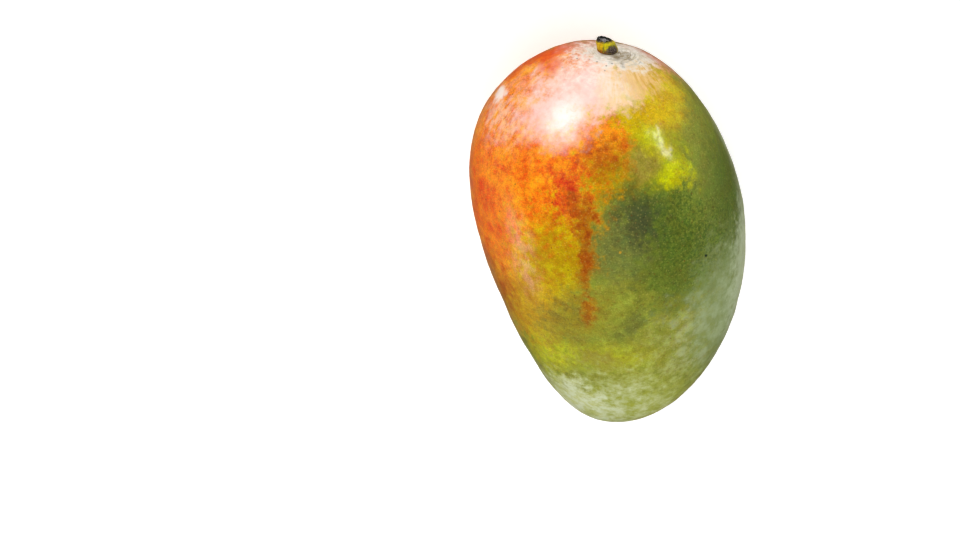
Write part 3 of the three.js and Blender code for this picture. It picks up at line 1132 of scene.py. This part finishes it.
@dataclass
class StemStub:
    """The stub of the stalk: a collar in the basin, two lobes with a cleft, and a broken end.

    It is modelled upright at the origin, in millimetres, with its front towards -Y, and then
    turned and set in the basin.

    Attributes:
        marks: The fruit's landmarks.
        sides: Faces round it.
        rings: Height and radius of each ring, from the root up and then into the broken end.
        lean: Lean towards -X, which starts at the foot.
        lobes: Angle, half width and share of swelling of each lobe; a cleft has a negative share.
        lobes_from: Height and radius beyond which the lobes swell the stub.
        tears: Side, lowest height, lift and reach of each pull at the broken end.
        tear_line: Middle of the broken end, and how far from it a pull starts.
        break_from: Height above which the stub counts as broken.
        grains: Name, grain, height and vertex group of each roughening.
    """

    marks: Landmarks
    sides: int = 56
    rings: tuple[tuple[float, float], ...] = (
        (-1.9, 2.1), (-1.3, 2.5), (-0.9, 2.9), (-0.5, 3.1), (-0.15, 3.2), (0.2, 3.24), (0.6, 3.14),
        (1.0, 3.0), (1.4, 2.92), (1.8, 2.9), (2.2, 2.9), (2.5, 2.84), (2.75, 2.66), (2.9, 2.4),
        (3.1, 2.3), (3.35, 2.2), (3.55, 2.0), (3.62, 1.7), (3.42, 1.4), (3.25, 1.05), (3.4, 0.7),
        (3.5, 0.35),
    )
    lean: float = 17.0
    lobes: tuple[tuple[float, float, float], ...] = (
        (-140, 38, 0.05), (-75, 34, 0.06), (-107, 10, -0.09), (-38, 9, -0.06), (0, 30, 0.03), (60, 40, 0.04),
        (105, 12, -0.05), (150, 34, 0.03),
    )
    lobes_from: tuple[float, float] = (0.3, 1.9)
    tears: tuple[tuple[float, float, float, float], ...] = ((1.0, 3.1, -0.3, 1.3), (-1.0, 3.3, 0.3, 1.0))
    tear_line: tuple[float, float] = (-0.8, 1.1)
    break_from: float = 3.0
    grains: tuple[tuple[str, float, float, str], ...] = (
        ("bark", 0.9, 0.16, ""), ("break", 0.6, 0.6, "break"),
    )

    @property
    def turn(self) -> float:
        """Turn about X that takes the upright stub onto the stem's axis."""
        return self.marks.pitch - 90.0

    def build(self) -> bpy.types.Object:
        """Makes the stub.

        Returns:
            The finished piece.
        """
        stub = self._turned()
        self._swell(stub)
        self._lean_over(stub)
        self._break_off(stub)
        apply_modifier(stub, "SUBSURF", levels=1, render_levels=1)
        self._roughen(stub)
        stub.scale = (MM, MM, MM)
        stub.rotation_euler = (math.radians(self.turn), 0.0, 0.0)
        stub.location = self.marks.stem_foot
        settle(stub)
        bpy.ops.object.shade_smooth()
        return stub

    def _turned(self) -> bpy.types.Object:
        """A cylinder drawn up ring by ring, and closed by a small cap."""
        (low, radius), (top, _) = self.rings[0], self.rings[1]
        bpy.ops.object.select_all(action="DESELECT")
        bpy.ops.mesh.primitive_cylinder_add(
            vertices=self.sides, radius=radius, depth=top - low, location=(0.0, 0.0, (low + top) / 2)
        )
        stub = bpy.context.object
        stub.name = "mango_stem_stub"
        settle(stub)
        bpy.ops.object.mode_set(mode="EDIT")
        bpy.ops.mesh.select_mode(type="VERT")
        pick_vertices(stub, lambda place: place.z > (low + top) / 2)
        bpy.ops.transform.resize(value=(self.rings[1][1] / radius,) * 2 + (1.0,), center_override=(0, 0, top))
        for (height, girth), (next_height, next_girth) in zip(self.rings[1:], self.rings[2:]):
            bpy.ops.mesh.extrude_region_move(TRANSFORM_OT_translate={"value": (0, 0, next_height - height)})
            share = next_girth / girth
            bpy.ops.transform.resize(value=(share, share, 1.0), center_override=(0, 0, next_height))
        bpy.ops.mesh.select_mode(type="FACE")
        bpy.ops.mesh.poke()
        bpy.ops.object.mode_set(mode="OBJECT")
        return stub

    def _swell(self, stub: bpy.types.Object) -> None:
        """Swells each side of the stub by what the lobes and clefts give at its angle."""
        only(stub)
        bpy.ops.object.mode_set(mode="EDIT")
        lowest, innermost = self.lobes_from
        for side in range(self.sides):
            angle = 360.0 * side / self.sides
            share = 1.0
            for middle, width, swelling in self.lobes:
                away = (angle - middle + 180.0) % 360.0 - 180.0
                share += swelling * math.exp(-((away / width) ** 2))
            half = 180.0 / self.sides

            def on_side(place: Vector, angle: float = angle, half: float = half) -> bool:
                away = (math.degrees(math.atan2(place.y, place.x)) - angle + 180.0) % 360.0 - 180.0
                return place.z > lowest and abs(away) < half and place.xy.length > innermost

            pick_vertices(stub, on_side)
            bpy.ops.transform.resize(value=(share, share, 1.0), center_override=(0, 0, 0))
        bpy.ops.object.mode_set(mode="OBJECT")

    def _lean_over(self, stub: bpy.types.Object) -> None:
        """Moves each ring sideways by its height, so that the stub leans but its foot stays."""
        only(stub)
        bpy.ops.object.mode_set(mode="EDIT")
        heights = sorted({height for height, _ in self.rings if height > 0})
        for low, high in zip([0.0] + heights, heights):
            pick_vertices(stub, lambda place, low=low: place.z > (low + 1e-3))
            bpy.ops.transform.translate(value=(-math.tan(math.radians(self.lean)) * (high - low), 0, 0))
        bpy.ops.object.mode_set(mode="OBJECT")

    def _break_off(self, stub: bpy.types.Object) -> None:
        """Tears the end down on one side and up into a splinter on the other."""
        only(stub)
        bpy.ops.object.mode_set(mode="EDIT")
        middle, start = self.tear_line
        for side, height, lift, reach in self.tears:

            def torn(place: Vector, side: float = side, height: float = height) -> bool:
                return place.z > height and side * (place.x - middle) > start

            found = pick_vertices(stub, torn)
            LOG.info("tearing the stub's end at %d vertices", found)
            bpy.ops.transform.translate(
                value=(0, 0, lift), use_proportional_edit=True, proportional_edit_falloff="SMOOTH",
                proportional_size=reach,
            )
        bpy.ops.object.mode_set(mode="OBJECT")

    def _roughen(self, stub: bpy.types.Object) -> None:
        """Roughens the stub, and its broken end the most."""
        group = stub.vertex_groups.new(name="break")
        rough = [vertex.index for vertex in stub.data.vertices if vertex.co.z > self.break_from]
        group.add(rough, 1.0, "REPLACE")
        for name, grain, height, where in self.grains:
            texture = bpy.data.textures.new(name, "CLOUDS")
            texture.noise_scale = grain
            texture.noise_depth = 3
            apply_modifier(
                stub, "DISPLACE", texture=texture, strength=height, mid_level=0.5, vertex_group=where,
                texture_coords="LOCAL", direction="NORMAL",
            )
        stub.vertex_groups.clear()


# ---- floor, light and camera ----------------------------------------------------------------


@dataclass(frozen=True)
class Panel:
    """A soft light that faces the fruit.

    Attributes:
        name: What it is.
        towards: Direction from the fruit to the light.
        away: Distance from the fruit's middle.
        size: Width and height of the panel.
        watts: Its power.
        colour: Its colour.
        roll: Turn of the panel in its own plane, in degrees.
        in_gloss: Whether the skin mirrors it.
        in_matt: Whether it lights matt surfaces.
    """

    name: str
    towards: Triple
    away: float
    size: tuple[float, float]
    watts: float
    colour: Rgb = (1.0, 1.0, 1.0)
    roll: float = 0.0
    in_gloss: bool = True
    in_matt: bool = True


@dataclass
class Studio:
    """The floor, the lights and the camera.

    Attributes:
        marks: The fruit's landmarks.
        panels: The lights.
        lens: Focal length in millimetres.
        elevation: Height of the camera above the horizon, on the stem's side.
        distance: From the fruit's middle to the camera.
        framing: How far the picture's middle is from the fruit's, to the right and up.
        floor_radius: Radius of the floor.
        floor_tone: Its lightness and roughness.
        floor_glow: The floor's own glow close by and far away, where the lights do not reach.
        glow_span: Distances between which it rises.
        world_bands: Height, as a share of straight up, and brightness of the surrounding's bands.
    """

    marks: Landmarks
    panels: tuple[Panel, ...]
    lens: float = 85.0
    elevation: float = 74.5
    distance: float = 0.725
    framing: tuple[float, float] = (-42.0 * MM, -10.9 * MM)
    floor_radius: float = 6.0
    floor_tone: tuple[float, float] = (0.93, 0.9)
    floor_glow: tuple[float, float] = (0.4, 1.0)
    glow_span: tuple[float, float] = (0.3, 2.0)
    world_bands: tuple[tuple[float, float], ...] = ((-0.2, 0.15), (-0.02, 1.02), (0.12, 1.02), (0.32, 0.1))

    def build(self) -> None:
        """Makes all of it."""
        self._floor()
        self._world()
        for panel in self.panels:
            self._light(panel)
        self._camera()
        bpy.context.scene.view_settings.view_transform = "Standard"

    def _floor(self) -> None:
        """A wide, plain, pale floor."""
        bpy.ops.object.select_all(action="DESELECT")
        bpy.ops.mesh.primitive_circle_add(vertices=96, radius=self.floor_radius, fill_type="NGON")
        floor = bpy.context.object
        floor.name = "floor"
        sheet = NodeSheet("pale_floor")
        surface = sheet.add("ShaderNodeBsdfPrincipled")
        light, rough = self.floor_tone
        surface.inputs["Base Color"].default_value = (light, light, light, 1.0)
        surface.inputs["Roughness"].default_value = rough
        surface.inputs["Emission Color"].default_value = (1.0, 1.0, 1.0, 1.0)
        close_by, far_away = self.floor_glow
        away = sheet.vector("LENGTH", sheet.object_place())
        glow = sheet.rise(away, *self.glow_span, far_away, close_by)
        sheet.feed(surface.inputs["Emission Strength"], glow)
        floor.data.materials.append(sheet.finish(surface))
        floor.visible_glossy = False

    def _world(self) -> None:
        """A surrounding that is bright along the horizon and dimmer above and below."""
        world = bpy.data.worlds.new("surrounding")
        world.use_nodes = True
        nodes, links = world.node_tree.nodes, world.node_tree.links
        place = nodes.new("ShaderNodeTexCoord")
        split = nodes.new("ShaderNodeSeparateXYZ")
        links.new(place.outputs["Generated"], split.inputs[0])
        band = nodes.new("ShaderNodeValToRGB")
        band.color_ramp.interpolation = "EASE"
        ramp = band.color_ramp.elements
        while len(ramp) < len(self.world_bands):
            ramp.new(0.5)
        for stop, (height, glow) in zip(ramp, self.world_bands):
            stop.position = (height + 1) / 2
            stop.color = (glow, glow, glow, 1.0)
        lift = nodes.new("ShaderNodeMath")
        lift.operation = "MULTIPLY_ADD"
        lift.inputs[1].default_value = lift.inputs[2].default_value = 0.5
        links.new(split.outputs["Z"], lift.inputs[0])
        links.new(lift.outputs[0], band.inputs[0])
        links.new(band.outputs[0], nodes["Background"].inputs["Color"])
        bpy.context.scene.world = world
        world.cycles_visibility.glossy = False

    def _light(self, panel: Panel) -> None:
        """One soft light.

        Args:
            panel: What it is and where it stands.
        """
        away = Vector(panel.towards).normalized()
        data = bpy.data.lights.new(panel.name, "AREA")
        data.shape = "ELLIPSE"
        data.size, data.size_y = panel.size
        data.energy = panel.watts
        data.color = panel.colour
        data.cycles.use_multiple_importance_sampling = panel.in_gloss
        light = bpy.data.objects.new(panel.name, data)
        light.location = self.marks.middle + away * panel.away
        roll = Quaternion((0.0, 0.0, 1.0), math.radians(panel.roll))
        light.rotation_euler = (away.to_track_quat("Z", "Y") @ roll).to_euler()
        light.visible_glossy = panel.in_gloss
        light.visible_diffuse = panel.in_matt
        bpy.context.scene.collection.objects.link(light)

    def _camera(self) -> None:
        """A camera that looks down on the fruit, with the stem end up in the picture."""
        height = math.radians(self.elevation)
        back = Vector((0.0, math.cos(height), math.sin(height)))
        right = Vector((1.0, 0.0, 0.0))
        up = back.cross(right)
        place = self.marks.middle + back * self.distance
        aim = self.marks.middle + right * self.framing[0] + up * self.framing[1]
        look = (place - aim).normalized()
        side = up.cross(look).normalized()
        data = bpy.data.cameras.new("camera")
        data.lens = self.lens
        camera = bpy.data.objects.new("camera", data)
        turn = Matrix((side, look.cross(side), look)).transposed().to_4x4()
        camera.matrix_world = Matrix.Translation(place) @ turn
        bpy.context.scene.collection.objects.link(camera)
        bpy.context.scene.camera = camera


ROSY_LIGHT = (1.0, 0.86, 0.84)
COOL_LIGHT = (0.85, 0.91, 1.0)
SOFT_LIGHT = (1.0, 0.97, 0.93)
PANELS = (
    Panel("key_core", (-0.40, 0.69, 0.60), 1.1, (0.22, 0.27), 0.55, COOL_LIGHT, in_matt=False),
    Panel("key_softbox", (-0.40, 0.70, 0.60), 1.1, (0.46, 0.46), 3.8, COOL_LIGHT, in_matt=False),
    Panel("key_halo", (-0.40, 0.72, 0.57), 1.1, (0.66, 0.62), 4.8, SOFT_LIGHT, in_matt=False),
    Panel("right_strip", (0.75, 0.49, 0.44), 1.1, (0.23, 0.075), 0.92, roll=-18.0, in_matt=False),
    Panel("left_strip", (-0.90, -0.40, 0.14), 1.1, (0.4, 0.16), 0.3, ROSY_LIGHT, in_matt=False),
    Panel("left_haze", (-0.77, -0.62, 0.10), 1.1, (0.3, 0.16), 0.12, ROSY_LIGHT, in_matt=False),
    Panel("window", (-0.35, 0.75, 0.65), 1.3, (1.4, 1.4), 9.0, in_gloss=False),
    Panel("ceiling", (0.15, -0.35, 1.0), 1.3, (2.2, 2.2), 20.0, in_gloss=False),
)


def hand_over(piece: bpy.types.Object, node: Node) -> None:
    """Puts a finished piece on the root body, hides the CAD node that it replaces, and reports its triangles.

    Args:
        piece: The piece.
        node: The CAD node that it replaces.
    """
    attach(piece, "root")
    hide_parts(node.value)
    piece.data.calc_loop_triangles()
    LOG.info("%s: %d triangles", piece.name, len(piece.data.loop_triangles))


def main() -> None:
    """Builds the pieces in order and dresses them."""
    logging.basicConfig(level=logging.INFO)
    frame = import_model()
    marks = Landmarks()
    skin = FruitSkin(marks).build(frame["nodes"][Node.FRUIT.value])
    skin.data.materials.append(SkinFinish(marks).material())
    hand_over(skin, Node.FRUIT)
    stem = StemStub(marks)
    stub = stem.build()
    stub.data.materials.append(StubFinish(marks.stem_foot, stem.turn).material())
    hand_over(stub, Node.STUB)
    Studio(marks, PANELS).build()


if __name__ == "__main__":
    main()
